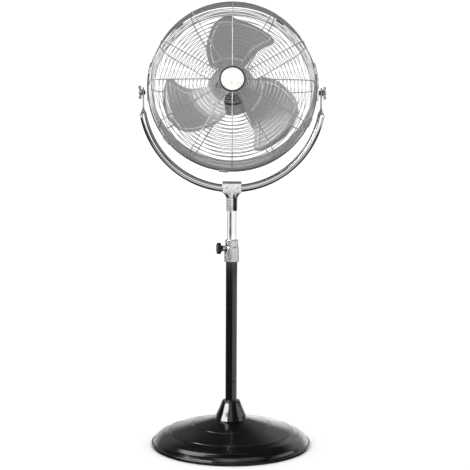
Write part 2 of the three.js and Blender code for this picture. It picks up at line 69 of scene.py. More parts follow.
RIM_R = 273.7
RIM_Z = 2.9
RIM_HALF = 2.3
SHOULDER_R = 258.0
FRONT_SHOULDER_Z = 83.0
REAR_SHOULDER_Z = -40.0
RIBS = 12
RIB_HALF = 1.7
WIRE_HALF = 1.15
RING_PITCH = 12.0
HUB_RINGS = (47.4, 58.4, 70.4)
FIRST_FRONT_RING = 52.4
FIRST_REAR_RING = 74
CLIP_ANGLES = (55, 130, 219.5, 264.5, 335.5)

BLADE_ROOT = 34.0
BLADE_TIP = 231.0
BLADE_HALF = 0.75
BEAD_INSET = 17.0
BEAD_WIDTH = 1.7
BEAD_HEIGHT = 2.0
BEAD_START = 72.0
BEAD_ATTRIBUTE = "bead"
# Radius, then the angles of the anticlockwise and clockwise edge of the blade that stands upright.
BLADE_OUTLINE = [
    (34, 116, 66), (62, 126, 62), (80, 134, 60), (94, 138, 58.5), (120, 132, 59), (146, 125.5, 58),
    (170, 118.5, 55), (190, 113, 51.5), (208, 108, 49.5), (217, 104.5, 51.5), (222, 102, 56.5),
    (226, 99.5, 64), (229, 97, 72), (231, 92, 80),
]
ROOT_ANGLES = (137.2, 59.2)
RIVETS = [(-22, 78), (0, 84), (22, 78)]
ARM_START = 16
ARM_END = 92

MOTOR_R = 80.0
MOTOR_FRONT = -8.0
MOTOR_REAR = -55.0
BELL_REAR = -63.6
SHAFT_GAP_R = 6.5
FIN_COUNT = 48
SLOT_COUNT = 24
POD_R = 58.0
POD_FRONT = -68.0
POD_REAR = -102.0
KNOB_Y = 18.0
GLAND_Z = -86.0

YOKE_R = 293.4
YOKE_CENTRE_Z = 1138.2
YOKE_END = 10.7
YOKE_TUBE_R = 12.5
YOKE_SIDES = 28
TAB_X = 287.5
TAB_ROWS = 10
SOCKET_TOP = 868.5
SOCKET_BOTTOM = 829.5
SOCKET_HALF = 31
SLEEVE_BOTTOM = 772.7
SLEEVE_TOP = 831.5
SLEEVE_R = 19
OUTER_R = 19.0
OUTER_BORE = 17.2
OUTER_BOTTOM = 60
OUTER_TOP = 640
INNER_R = 16.0
INNER_BORE = 14.4
INNER_BOTTOM = 230
INNER_TOP = 828.0
KNOB_Z = JOINTS["height_knob_turn"]["pos_m"][2] / MM


# ---------- shape helpers ----------

class Shape:
    """A growing mesh made of closed parts. Each part may take its own material slot."""

    def __init__(self):
        self.points = []
        self.faces = []
        self.slots = []

    def add_faces(self, faces, slot):
        self.faces.extend(faces)
        self.slots.extend([slot] * len(faces))

    def rows(self, rows, closed=False, slot=0):
        """Skins a list of equal loops. The two end loops are capped unless the rows close on themselves."""
        start = len(self.points)
        count = len(rows[0])
        for row in rows:
            self.points.extend(tuple(p) for p in row)
        faces = []
        for i in range(len(rows) if closed else len(rows) - 1):
            a = start + i * count
            b = start + ((i + 1) % len(rows)) * count
            for k in range(count):
                n = (k + 1) % count
                faces.append((a + k, a + n, b + n, b + k))
        if not closed:
            end = start + (len(rows) - 1) * count
            faces.append(tuple(range(start + count - 1, start - 1, -1)))
            faces.append(tuple(range(end, end + count)))
        self.add_faces(faces, slot)

    def lathe(self, profile, segments=96, slot=0):
        """Turns an (r, z) profile about z: a closed loop, or a line that starts and ends on the axis."""
        rings = []
        for r, z in profile:
            if r < 1e-6:
                self.points.append((0.0, 0.0, z))
                rings.append([len(self.points) - 1] * segments)
                continue
            first = len(self.points)
            for k in range(segments):
                a = TAU * k / segments
                self.points.append((r * math.cos(a), r * math.sin(a), z))
            rings.append(list(range(first, first + segments)))
        pairs = list(zip(rings, rings[1:]))
        if profile[0][0] > 1e-6:
            pairs.append((rings[-1], rings[0]))
        faces = []
        for low, high in pairs:
            for k in range(segments):
                n = (k + 1) % segments
                corners = list(dict.fromkeys((low[k], low[n], high[n], high[k])))
                if len(corners) > 2:
                    faces.append(tuple(corners))
        self.add_faces(faces, slot)

    def sweep(self, path, section, side, closed=False, slot=0):
        """Carries a section of (outward, sideways) pairs along a path that lies square to side."""
        side = Vector(side).normalized()
        last = len(path) - 1
        rows = []
        for i, p in enumerate(path):
            before = path[i - 1] if (i or closed) else path[i]
            after = path[(i + 1) % len(path)] if (i < last or closed) else path[i]
            out = (Vector(after) - Vector(before)).normalized().cross(side)
            rows.append([Vector(p) + out * u + side * v for u, v in section])
        self.rows(rows, closed=closed, slot=slot)

    def rod(self, start, end, radius, sides=24, end_radius=None, bevel=0.4, slot=0):
        """A round bar with softened ends."""
        start, end = Vector(start), Vector(end)
        length = (end - start).length
        end_radius = end_radius or radius
        b = min(bevel, 0.45 * length, 0.6 * min(radius, end_radius))
        bar = Shape()
        bar.lathe([(0, 0), (radius - b, 0), (radius - 0.3 * b, 0.3 * b), (radius, b),
                   (end_radius, length - b), (end_radius - 0.3 * b, length - 0.3 * b),
                   (end_radius - b, length), (0, length)], sides)
        self.merge(bar, Matrix.Translation(start) @ turned_to(end - start), slot)

    def merge(self, other, place=None, slot=None):
        """Adds another shape, carried by a matrix."""
        place = place or Matrix.Identity(4)
        start = len(self.points)
        self.points.extend(tuple(place @ Vector(p)) for p in other.points)
        self.faces.extend(tuple(v + start for v in face) for face in other.faces)
        self.slots.extend(other.slots if slot is None else [slot] * len(other.faces))


def turned_to(direction):
    """Turns z to point along a direction."""
    return Vector(direction).to_track_quat("Z", "Y").to_matrix().to_4x4()


def rounded(points, closed=True, steps=5):
    """Bends each corner (x, y, fillet) of a polyline into a curve of about that radius."""
    out = []
    count = len(points)
    for i, point in enumerate(points):
        here = Vector(point[:2])
        fillet = point[2] if len(point) > 2 else 0.0
        if fillet <= 0 or (not closed and i in (0, count - 1)):
            out.append((here.x, here.y))
            continue
        a = Vector(points[i - 1][:2]) - here
        b = Vector(points[(i + 1) % count][:2]) - here
        cut = min(fillet / math.tan(a.angle(b) / 2), 0.48 * a.length, 0.48 * b.length)
        p, q = here + a.normalized() * cut, here + b.normalized() * cut
        for k in range(steps + 1):
            t = k / steps
            mix = p * (1 - t) ** 2 + here * 2 * t * (1 - t) + q * t ** 2
            out.append((mix.x, mix.y))
    return out


def inset(outline, distance):
    """Moves an anticlockwise outline inwards."""
    moved = []
    for i, p in enumerate(outline):
        along = (Vector(outline[(i + 1) % len(outline)]) - Vector(outline[i - 1])).normalized()
        moved.append((p[0] - along.y * distance, p[1] + along.x * distance))
    return moved


def slab(outline, low, high, bevel):
    """A plate of an anticlockwise outline from z low to high, with rounded edges."""
    steps = [(bevel, low), (0.3 * bevel, low + 0.3 * bevel), (0, low + bevel),
             (0, high - bevel), (0.3 * bevel, high - 0.3 * bevel), (bevel, high)]
    shape = Shape()
    shape.rows([[(x, y, z) for x, y in inset(outline, step)] for step, z in steps])
    return shape


def block(low, high, bevel):
    """A box with rounded edges."""
    (x0, y0, z0), (x1, y1, z1) = low, high
    outline = rounded([(x0, y0, bevel), (x1, y0, bevel), (x1, y1, bevel), (x0, y1, bevel)], steps=3)
    return slab(outline, z0, z1, bevel)


def hexagon(radius, low, high, bevel):
    """A nut with softened corners."""
    corners = [(*polar(radius, 60 * k).xy, 0.8) for k in range(6)]
    return slab(rounded(corners, steps=3), low, high, bevel)


def dome(radius, height):
    """A round rivet head that stands on z = 0."""
    shape = Shape()
    shape.lathe([(0, height), (0.4 * radius, 0.94 * height), (0.72 * radius, 0.72 * height),
                 (0.93 * radius, 0.38 * height), (radius, 0.08 * height), (radius, -0.4), (0, -0.4)], 24)
    return shape


def screw_head(radius, height):
    """A pan head with a round driver recess."""
    shape = Shape()
    shape.lathe(rounded([
        (0, 0.25 * height), (0.38 * radius, 0.25 * height, 0.1), (0.46 * radius, height, 0.2),
        (0.75 * radius, height, 0.6), (radius, 0.4 * height, 0.5), (radius, -0.3), (0, -0.3)],
        closed=False), 28)
    return shape


def circle(radius, sides):
    return [tuple(polar(radius, 360 * k / sides).xy) for k in range(sides)]


def wavy_circle(radius, wave, waves, sides):
    """A circle whose radius goes in and out, as on a fluted or lobed knob."""
    outline = []
    for k in range(sides):
        out = radius + wave * math.cos(waves * TAU * k / sides)
        outline.append(tuple(polar(out, 360 * k / sides).xy))
    return outline


def bulge(value, power):
    """Keeps the sign of a value from -1 to 1; a power under 1 makes a circle's section squarer."""
    return math.copysign(abs(value) ** power, value)


def polar(radius, degrees, z=0.0):
    a = math.radians(degrees)
    return Vector((radius * math.cos(a), radius * math.sin(a), z))


def smoothstep(x, low, high):
    t = min(max((x - low) / (high - low), 0.0), 1.0)
    return t * t * (3 - 2 * t)


def piece(name, shape, materials, body, replaces=(), place=STAND, smooth=40.0):
    """Turns a Shape into an object that rides on a body and stands for CAD nodes."""
    mesh = bpy.data.meshes.new(name)
    mesh.from_pydata([place @ Vector(p) for p in shape.points], [], shape.faces)
    for material in materials:
        mesh.materials.append(material)
    mesh.polygons.foreach_set("material_index", shape.slots)
    mesh.validate()
    obj = bpy.data.objects.new(name, mesh)
    bpy.context.scene.collection.objects.link(obj)
    bpy.context.view_layer.objects.active = obj
    obj.select_set(True)
    bpy.ops.object.mode_set(mode="EDIT")
    bpy.ops.mesh.select_all(action="SELECT")
    bpy.ops.mesh.normals_make_consistent(inside=False)
    bpy.ops.object.mode_set(mode="OBJECT")
    bpy.ops.object.shade_smooth_by_angle(angle=math.radians(smooth))
    obj.modifiers.new("flat_faces_stay_flat", "WEIGHTED_NORMAL").keep_sharp = True
    obj.select_set(False)
    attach(obj, body)
    if replaces:
        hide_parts(*replaces)
    return obj


# ---------- materials ----------

def new_material(name, color, metallic, roughness, **sockets):
    material = bpy.data.materials.new(name)
    material.use_nodes = True
    tree = material.node_tree
    shader = tree.nodes["Principled BSDF"]
    shader.inputs["Base Color"].default_value = (*color, 1.0)
    shader.inputs["Metallic"].default_value = metallic
    shader.inputs["Roughness"].default_value = roughness
    for socket, value in sockets.items():
        shader.inputs[socket.replace("_", " ")].default_value = value
    return material, tree, shader


def noise(tree, scale, detail=2.0, stretch=(1.0, 1.0, 1.0)):
    """A noise texture in object space, stretched along each axis."""
    where = tree.nodes.new("ShaderNodeTexCoord")
    mapping = tree.nodes.new("ShaderNodeMapping")
    mapping.inputs["Scale"].default_value = stretch
    texture = tree.nodes.new("ShaderNodeTexNoise")
    texture.inputs["Scale"].default_value = scale
    texture.inputs["Detail"].default_value = detail
    tree.links.new(where.outputs["Object"], mapping.inputs["Vector"])
    tree.links.new(mapping.outputs["Vector"], texture.inputs["Vector"])
    return texture.outputs["Fac"]


def spread(tree, source, low, high):
    """Maps the middle of a noise on to a range."""
    remap = tree.nodes.new("ShaderNodeMapRange")
    remap.inputs["From Min"].default_value = 0.3
    remap.inputs["From Max"].default_value = 0.7
    remap.inputs["To Min"].default_value = low
    remap.inputs["To Max"].default_value = high
    tree.links.new(source, remap.inputs["Value"])
    return remap.outputs["Result"]


def tint(tree, source, dark, light):
    """Two close shades, chosen by a noise."""
    ramp = tree.nodes.new("ShaderNodeValToRGB")
    ramp.color_ramp.elements[0].position = 0.35
    ramp.color_ramp.elements[1].position = 0.65
    ramp.color_ramp.elements[0].color = (*dark, 1.0)
    ramp.color_ramp.elements[1].color = (*light, 1.0)
    tree.links.new(source, ramp.inputs["Fac"])
    return ramp.outputs["Color"]


def bump(tree, shader, source, strength, distance):
    node = tree.nodes.new("ShaderNodeBump")
    node.inputs["Strength"].default_value = strength
    node.inputs["Distance"].default_value = distance
    tree.links.new(source, node.inputs["Height"])
    tree.links.new(node.outputs["Normal"], shader.inputs["Normal"])


def make_chrome(name, color, low, high, metallic=1.0):
    """Plated steel: slightly uneven polish and faint clouding."""
    material, tree, shader = new_material(name, color, metallic, low)
    tree.links.new(spread(tree, noise(tree, 40.0, 4.0), low, high), shader.inputs["Roughness"])
    dark = tuple(c * 0.94 for c in color)
    tree.links.new(tint(tree, noise(tree, 9.0, 3.0), dark, color), shader.inputs["Base Color"])
    bump(tree, shader, noise(tree, 26.0), 0.04, 0.0005)
    return material


def make_paint(name, color, roughness, peel, coat, specular=0.5):
    """Stoved paint with orange peel under a clear gloss."""
    material, tree, shader = new_material(name, color, 0.0, roughness, Coat_Weight=coat, Coat_Roughness=0.05,
                                          Specular_IOR_Level=specular)
    light = tuple(c * 1.3 + 0.001 for c in color)
    tree.links.new(tint(tree, noise(tree, 30.0, 4.0), color, light), shader.inputs["Base Color"])
    uneven = spread(tree, noise(tree, 60.0, 3.0), roughness * 0.8, roughness * 1.25)
    tree.links.new(uneven, shader.inputs["Roughness"])
    bump(tree, shader, noise(tree, 420.0, 1.0), peel, 0.0003)
    return material


def make_brushed(name, color, roughness, stretch, grain):
    """Satin metal with fine streaks along the directions where stretch is small."""
    material, tree, shader = new_material(name, color, 1.0, roughness)
    streaks = noise(tree, 300.0, 3.0, stretch)
    dark = tuple(c * 0.86 for c in color)
    tree.links.new(tint(tree, streaks, dark, color), shader.inputs["Base Color"])
    tree.links.new(spread(tree, streaks, roughness * 0.85, roughness * 1.2), shader.inputs["Roughness"])
    bump(tree, shader, streaks, grain, 0.0003)
    return material


def make_blade_metal():
    """Satin sheet aluminium; the pressed bead is coloured near-white as a painted highlight."""
    light, dark, painted_bead_highlight = (0.46, 0.465, 0.47), (0.41, 0.415, 0.42), (0.92, 0.92, 0.92)
    material, tree, shader = new_material("blade_aluminium", light, 0.5, 0.5)
    streaks = noise(tree, 300.0, 3.0, (0.15, 1.0, 1.0))
    sheet = tint(tree, streaks, dark, light)
    bead = tree.nodes.new("ShaderNodeAttribute")
    bead.attribute_name = BEAD_ATTRIBUTE
    mix = tree.nodes.new("ShaderNodeMix")
    mix.data_type = "RGBA"
    colors = [socket for socket in mix.inputs if socket.type == "RGBA"]
    mixed = next(socket for socket in mix.outputs if socket.type == "RGBA")
    tree.links.new(bead.outputs["Fac"], mix.inputs[0])
    tree.links.new(sheet, colors[0])
    # The bead's near-white colour is a painted highlight on the raised bead.
    colors[1].default_value = (*painted_bead_highlight, 1.0)
    tree.links.new(mixed, shader.inputs["Base Color"])
    tree.links.new(spread(tree, streaks, 0.44, 0.56), shader.inputs["Roughness"])
    bump(tree, shader, streaks, 0.06, 0.0003)
    return material


def make_moulded(name, color, roughness, grain, scale):
    """Moulded plastic or rubber with a fine spark-eroded grain."""
    material, tree, shader = new_material(name, color, 0.0, roughness)
    light = tuple(c * 1.25 + 0.003 for c in color)
    tree.links.new(tint(tree, noise(tree, 50.0, 3.0), color, light), shader.inputs["Base Color"])
    uneven = spread(tree, noise(tree, 120.0), roughness * 0.85, roughness * 1.15)
    tree.links.new(uneven, shader.inputs["Roughness"])
    bump(tree, shader, noise(tree, scale), grain, 0.0004)
    return material


CHROME = make_chrome("chrome_plate", (0.82, 0.83, 0.84), 0.04, 0.09)
WIRE = make_chrome("wire_chrome", (0.36, 0.363, 0.366), 0.32, 0.42, metallic=0.5)
RIM_CHROME = make_chrome("rim_chrome", (0.16, 0.161, 0.163), 0.25, 0.35, metallic=0.6)
TAB_CHROME = make_chrome("flattened_chrome", (0.42, 0.425, 0.43), 0.2, 0.3, metallic=0.8)
STEEL = make_brushed("satin_steel", (0.80, 0.81, 0.82), 0.2, (1.0, 1.0, 0.12), 0.04)
ALUMINIUM = make_blade_metal()
DARK_STEEL = make_brushed("blackened_steel", (0.05, 0.05, 0.052), 0.3, (1.0, 1.0, 0.3), 0.05)
PAINT = make_paint("gloss_black_paint", (0.0025, 0.0025, 0.0028), 0.16, 0.05, 0.7)
POLE_PAINT = make_paint("pole_black_paint", (0.002, 0.002, 0.0023), 0.08, 0.03, 1.0, specular=1.0)
MOTOR_PAINT = make_paint("motor_grey_paint", (0.27, 0.275, 0.28), 0.36, 0.1, 0.2)
IRON = make_paint("cast_iron_primer", (0.03, 0.03, 0.032), 0.6, 0.5, 0.0)
BLACK = make_moulded("black_plastic", (0.010, 0.010, 0.011), 0.36, 0.12, 900.0)
BADGE = make_moulded("badge_plastic", (0.80, 0.79, 0.76), 0.22, 0.02, 300.0)
RUBBER = make_moulded("foot_rubber", (0.02, 0.02, 0.02), 0.75, 0.3, 600.0)

FINISH = {
    "black_gloss": PAINT, "chrome": CHROME, "steel": STEEL, "aluminium": ALUMINIUM, "black_plastic": BLACK,
    "badge_white": BADGE, "motor_grey": MOTOR_PAINT, "rubber": RUBBER, "iron": IRON,
}


# ---------- guards ----------

def add_ring(shape, radius, z, wire, sides=8, slot=0):
    """A wire ring round the fan's axis."""
    path = [polar(radius, 3 * k, z) for k in range(120)]
    shape.sweep(path, circle(wire, sides), (0, 0, 1), closed=True, slot=slot)


def add_rib(shape, profile, degrees):
    """A wire rib that follows an (r, z) profile from the guard's middle to its rim."""
    along = polar(1, degrees)
    bent = rounded([(r, z, 7.0) for r, z in profile], closed=False)
    path = [Vector((r * along.x, r * along.y, z)) for r, z in bent]
    shape.sweep(path, circle(RIB_HALF, 8), (-along.y, along.x, 0))


def front_face(r):
    """Forward position of the domed front guard's rings."""
    return 103 - 7 * (r / 190) ** 2


def rear_face(r):
    """Forward position of the dished rear guard's rings."""
    return -66 + 8 * (r / 190) ** 2


def face_rings(shape, first, face):
    """Evenly spaced rings from a first radius out to the shoulder."""
    r = first
    while r < SHOULDER_R - 5:
        add_ring(shape, r, face(r), WIRE_HALF)
        r += RING_PITCH


def wall_rings(shape, shoulder_z, rim_z, count):
    """The shoulder, the rim and the rings between them, just inside the ribs."""
    add_ring(shape, SHOULDER_R, shoulder_z, 2.0)
    add_ring(shape, RIM_R, rim_z, RIM_HALF, sides=10, slot=1)
    for k in range(1, count + 1):
        t = k / (count + 1)
        add_ring(shape, SHOULDER_R + 12.9 * t, shoulder_z + (rim_z - shoulder_z) * t, WIRE_HALF)


def make_guards():
    """The front and rear wire guards. The front one has closer rings and a plate round the badge."""
    lift = WIRE_HALF + RIB_HALF - 0.2
    front = Shape()
    face_rings(front, FIRST_FRONT_RING, front_face)
    for r in HUB_RINGS:
        add_ring(front, r, front_face(r), WIRE_HALF)
    wall_rings(front, FRONT_SHOULDER_Z, RIM_Z, 9)
    profile = [(40.5, 104)] + [(r, front_face(r) + lift) for r in (80, 130, 190, 236)]
    profile += [(250, 89.2), (257.2, 86.0), (260.7, 81), (RIM_R - 0.2, RIM_Z + 1)]
    for k in range(RIBS):
        add_rib(front, profile, 360 / RIBS * k)
    front.lathe(rounded([
        (0, 101.4), (43.6, 101.4, 1.2), (44.8, 103, 1), (43.6, 105.4, 1.4), (37, 105.6, 0.3), (0, 105.6)],
        closed=False))
    wires = [WIRE, RIM_CHROME]
    piece("front_guard_wires", front, wires, "head", ["front_grille", "front_rim"], FAN)

    rear = Shape()
    face_rings(rear, FIRST_REAR_RING, rear_face)
    wall_rings(rear, REAR_SHOULDER_Z, -RIM_Z, 4)
    profile = [(60, -66.4)] + [(r, rear_face(r) - lift) for r in (90, 130, 190, 238)]
    profile += [(252, -46.6), (258.4, -43.6), (262, -37), (RIM_R - 0.2, -RIM_Z - 1)]
    for k in range(RIBS):
        add_rib(rear, profile, 360 / RIBS * k)
    rear.lathe(rounded([
        (20, -67.6, 0.5), (71, -67.6, 1), (72, -66, 0.8), (71, -64.4, 0.8), (20, -64.4, 0.5)]))
    piece("rear_guard_wires", rear, wires, "head", ["rear_grille", "rear_rim"], FAN)


def add_hook(shape, degrees, length):
    """A C-shaped steel clip that straddles both rims."""
    inner, outer = RIM_R + RIM_HALF + 0.8, RIM_R + RIM_HALF + 2.6
    near, far = RIM_Z + RIM_HALF + 0.5, RIM_Z + RIM_HALF + 2.1
    lip = 268
    corners = [(lip, near, 0.4), (inner, near, 1), (inner, -near, 1), (lip, -near, 0.4),
               (lip, -far, 0.4), (outer, -far, 1.6), (outer, far, 1.6), (lip, far, 0.4)]
    section = [(r - RIM_R, z) for r, z in rounded(corners, steps=3)]
    reach = math.degrees(length / 2 / RIM_R)
    path = [polar(RIM_R, degrees + reach * (k / 6 - 1)) for k in range(13)]
    shape.sweep(path, section, (0, 0, 1))


def make_clips():
    """Clips that hold the two guards together, each with two screws."""
    finish = [TAB_CHROME, DARK_STEEL]
    for number, degrees in enumerate(CLIP_ANGLES, 1):
        shape = Shape()
        add_hook(shape, degrees, 30)
        for away in (-10, 10):
            at = polar(270.6, degrees + math.degrees(away / RIM_R), RIM_Z + RIM_HALF + 1.9)
            shape.merge(screw_head(2.1, 1.3), Matrix.Translation(at), slot=1)
        piece(f"rim_clip_{number}", shape, finish, "head", [f"guard_clip_{number}"], FAN)


def make_badge():
    """A plain domed disc and the bezel round it."""
    shape = Shape()
    shape.lathe(rounded([(0, 106), (36.4, 106, 0.4), (36.4, 108.4, 1.6), (24, 110.2, 12), (0, 111)],
                        closed=False))
    piece("badge_disc", shape, [BADGE], "head", ["badge"], FAN)
    shape = Shape()
    shape.lathe(rounded([(36.9, 105.8, 0.3), (41.4, 105.8, 0.3), (41.4, 108.6, 1.4), (36.9, 108.6, 0.8)]))
    piece("badge_bezel", shape, [BLACK], "head", ["badge_ring"], FAN)


# ---------- blades and hub ----------

def blade_height(radius, u):
    """How far forward the sheet stands: u runs from -1 at the anticlockwise edge, the forward one, to 1."""
    middle = 18 - 18 * smoothstep(radius, 60, 140)
    sweep = 10 + 20 * smoothstep(radius, 60, 150)
    return middle - sweep * u - 5 * (1 - u * u)


def root_height(x, y):
    """Height of the blade near its root, where its edges run at nearly fixed angles."""
    first, last = ROOT_ANGLES
    degrees = math.degrees(math.atan2(y, x))
    return blade_height(math.hypot(x, y), -1 + 2 * (first - degrees) / (first - last))


def edge_angles(radius):
    """Angles of the two edges at a radius, on a smooth curve through the outline's rows."""
    rows = BLADE_OUTLINE
    i = max(k for k in range(len(rows) - 1) if rows[k][0] <= radius)
    t = (radius - rows[i][0]) / (rows[i + 1][0] - rows[i][0])
    angles = []
    for column in (1, 2):
        a, b, c, d = [rows[min(max(k, 0), len(rows) - 1)][column] for k in (i - 1, i, i + 1, i + 2)]
        curve = (2 * a - 5 * b + 4 * c - d) * t ** 2 + (3 * b - a - 3 * c + d) * t ** 3
        angles.append(0.5 * (2 * b + (c - a) * t + curve))
    return angles


def make_blade(number):
    """A pressed sheet with a raised bead inside its edge and three rivets at its root."""
    across, along = 84, 90
    rows, beads = [], []
    for j in range(along + 1):
        radius = BLADE_ROOT + (BLADE_TIP - BLADE_ROOT) * j / along
        first, last = edge_angles(radius)
        top, under, raised = [], [], []
        for k in range(across + 1):
            u = -1 + 2 * k / across
            spot = polar(radius, first + (last - first) * k / across)
            side = min((1 - abs(u)) * math.radians(first - last) / 2 * radius, BLADE_TIP - radius)
            margin = min(side, (radius - BEAD_START) * 0.7)
            bead = math.exp(-((margin - BEAD_INSET) / BEAD_WIDTH) ** 2)
            z = blade_height(radius, u) + BEAD_HEIGHT * bead
            edge = BLADE_HALF * min(1.0, 0.35 + side / 2.0)
            top.append((spot.x, spot.y, z + edge))
            under.append((spot.x, spot.y, z - edge))
            raised.append(bead)
        rows.append(top + under[::-1])
        beads.extend(raised + raised[::-1])
    shape = Shape()
    shape.rows(rows)
    for x, y in RIVETS:
        shape.merge(dome(3.7, 2.4), Matrix.Translation((x, y, root_height(x, y) + 0.6)))
    beads.extend([0.0] * (len(shape.points) - len(beads)))
    place = FAN @ Matrix.Rotation(TAU / 3 * (number - 1), 4, "Z")
    node = f"blade_{number}"
    blade = piece(f"pressed_{node}", shape, [ALUMINIUM], "rotor", [node], place, 50)
    # The bead attribute also masks the painted highlight in the blade's colour.
    blade.data.attributes.new(BEAD_ATTRIBUTE, "FLOAT", "POINT").data.foreach_set("value", beads)


def make_hub():
    """The hub, with an arm under each blade, and the cap over its nut."""
    shape = Shape()
    shape.lathe(rounded([
        (6.4, 6, 0.6), (20, 6, 1.5), (20, 32, 2), (16, 32, 0.6), (14.6, 29, 0.8), (8.4, 29, 0.8),
        (7.4, 32, 0.3), (6.4, 32, 0.3)]), 64)
    arm = Shape()
    rows = []
    steps = 13
    for k in range(steps + 1):
        radius = ARM_START + (ARM_END - ARM_START) * k / steps
        half = (16 + 10 * smoothstep(radius, 30, ARM_END)) * (1 if k < steps else 0.9)
        line = [(half * side / 8, root_height(half * side / 8, radius)) for side in range(-8, 9)]
        top = [(x, radius, z - 3.0) for x, z in line]
        under = [(x, radius, z - 5.4) for x, z in line]
        rows.append(top + under[::-1])
    arm.rows(rows)
    for number in range(3):
        shape.merge(arm, Matrix.Rotation(TAU / 3 * number, 4, "Z"))
    piece("hub_and_arms", shape, [STEEL], "rotor", ["hub_spider"], FAN)
    shape = Shape()
    shape.lathe(rounded([(0, 32.4), (12, 32.4, 0.6), (12, 40, 3), (8, 45, 4), (0, 46)], closed=False), 48)
    piece("hub_nut_cap", shape, [BLACK], "rotor", ["hub_cap"], FAN)


# ---------- motor and controls ----------

def make_motor():
    """The finned case, the vents in its front, the rear bell and its four screws."""
    front, rear = MOTOR_FRONT, MOTOR_REAR
    inside = MOTOR_R - 3
    shape = Shape()
    shape.lathe(rounded([
        (MOTOR_R, rear, 1), (MOTOR_R, rear + 8, 0.6), (MOTOR_R - 2, rear + 10, 0.6),
        (MOTOR_R - 2, front - 14, 0.6), (MOTOR_R, front - 12, 1), (MOTOR_R, front - 9, 4),
        (76.4, front - 4, 4), (70, front - 2.2, 3), (56, front - 1.4, 0.6), (55, front - 5, 0.6),
        (22, front - 5, 0.6), (20.5, front + 5.9, 1.5), (SHAFT_GAP_R, front + 5.9, 0.8),
        (SHAFT_GAP_R, front - 6), (20, front - 7), (54, front - 7), (68, front - 5),
        (74, front - 9), (inside, front - 14), (inside, rear, 0.4)]), 120)
    fin = block((inside, -1.1, rear + 9), (MOTOR_R - 0.1, 1.1, front - 13), 0.4)
    for k in range(FIN_COUNT):
        shape.merge(fin, Matrix.Rotation(TAU * k / FIN_COUNT, 4, "Z"))
    piece("motor_case", shape, [MOTOR_PAINT], "head", ["motor_housing"], FAN)

    shape = Shape()
    for inner, outer in ((22.8, 27), (37, 40), (50, 54.4)):
        shape.lathe(rounded([(inner, front - 4.8), (outer, front - 4.8), (outer, front - 1.4, 0.6),
                             (inner, front - 1.4, 0.6)]))
    bar = block((24, -1.6, front - 4.8), (53, 1.6, front - 1.7), 0.4)
    for k in range(SLOT_COUNT):
        shape.merge(bar, Matrix.Rotation(TAU * k / SLOT_COUNT, 4, "Z"))
    piece("motor_front_vents", shape, [BLACK], "head", (), FAN)

    shape = Shape()
    shape.lathe(rounded([
        (0, BELL_REAR), (40, BELL_REAR, 0.5), (41.5, BELL_REAR + 1.2, 0.5), (55, BELL_REAR + 1.2, 0.5),
        (56.5, BELL_REAR, 0.5), (74, BELL_REAR, 2.5), (inside, rear - 3, 2),
        (MOTOR_R - 2, rear - 0.4, 0.4), (20, rear - 0.4, 0.4), (16, rear + 1, 0.4),
        (SHAFT_GAP_R, rear + 1, 0.4), (SHAFT_GAP_R, rear - 6), (0, rear - 6)], closed=False), 120)
    piece("motor_rear_bell", shape, [MOTOR_PAINT], "head", ["motor_end_bell"], FAN)

    for number in (1, 2, 3, 4):
        place = FAN @ Matrix.Translation(polar(65, 45 + 90 * (number - 1)))
        node = f"motor_bolt_{number}"
        shape = Shape()
        shape.rod((0, 0, rear - 3), (0, 0, -69), 3, 16)
        shape.lathe(rounded([(0, -68.7), (7, -68.7, 0.3), (7, -67.9, 0.2), (0, -67.9)], closed=False), 28)
        shape.merge(hexagon(5.4, -72, -68.4, 0.5))
        piece(f"motor_screw_{number}", shape, [STEEL], "head", [node], place)


def make_controls():
    """The pod behind the motor, its speed knob with tick marks round it, and the cord gland."""
    shape = Shape()
    back = POD_REAR + 0.4
    shape.lathe(rounded([
        (0, POD_FRONT), (POD_R - 0.6, POD_FRONT, 1), (POD_R, POD_FRONT - 2, 1),
        (POD_R - 2.6, POD_REAR + 9, 10), (POD_R - 9, POD_REAR + 2, 8), (POD_R - 14, back, 3),
        (POD_R - 16, back, 0.4), (POD_R - 16.8, back + 0.9, 0.3), (POD_R - 18.4, back + 0.9, 0.3),
        (POD_R - 19.2, back, 0.4), (0, back)], closed=False), 120)
    tick = block((-0.8, 16.6, POD_REAR), (0.8, 20.4, POD_REAR + 1), 0.2)
    for k in range(4):
        turn = Matrix.Translation((0, KNOB_Y, 0)) @ Matrix.Rotation(math.radians(45 * k), 4, "Z")
        shape.merge(tick, turn, slot=1)
    piece("control_cover", shape, [BLACK, BADGE], "head", ["control_pod"], FAN)

    shape = Shape()
    shape.merge(slab(wavy_circle(13.3, 0.5, 24, 192), POD_REAR - 12.6, POD_REAR - 0.5, 0.8))
    shape.merge(block((-2, 3, POD_REAR - 14.2), (2, 12, POD_REAR - 12), 0.6))
    shape.merge(block((-0.7, 4.4, POD_REAR - 14.4), (0.7, 11, POD_REAR - 13.4), 0.1), slot=1)
    shape.rod((0, 0, POD_REAR + 6), (0, 0, POD_REAR - 4), 3.4)
    place = FAN @ Matrix.Translation((0, KNOB_Y, 0))
    piece("speed_dial", shape, [BLACK, BADGE], "speed_knob", ["speed_knob"], place)

    shape = Shape()
    shape.lathe(rounded([
        (4, 12), (6.2, 12, 0.5), (6.2, 0.5, 0.3), (9.6, 0.3, 0.5), (9.6, -1.6, 0.5), (7.6, -2, 0.4),
        (7.6, -8.4, 0.4), (6.6, -8.8, 0.4), (6.2, -12, 1), (4, -12, 0.6)]), 48)
    shape.merge(hexagon(9, -8, -3, 0.5))
    down = Matrix.Translation((0, -POD_R, GLAND_Z)) @ turned_to((0, 1, 0))
    piece("cord_gland_nut", shape, [BLACK], "head", ["cord_gland"], FAN @ down)


# ---------- yoke, its socket and the pivots ----------

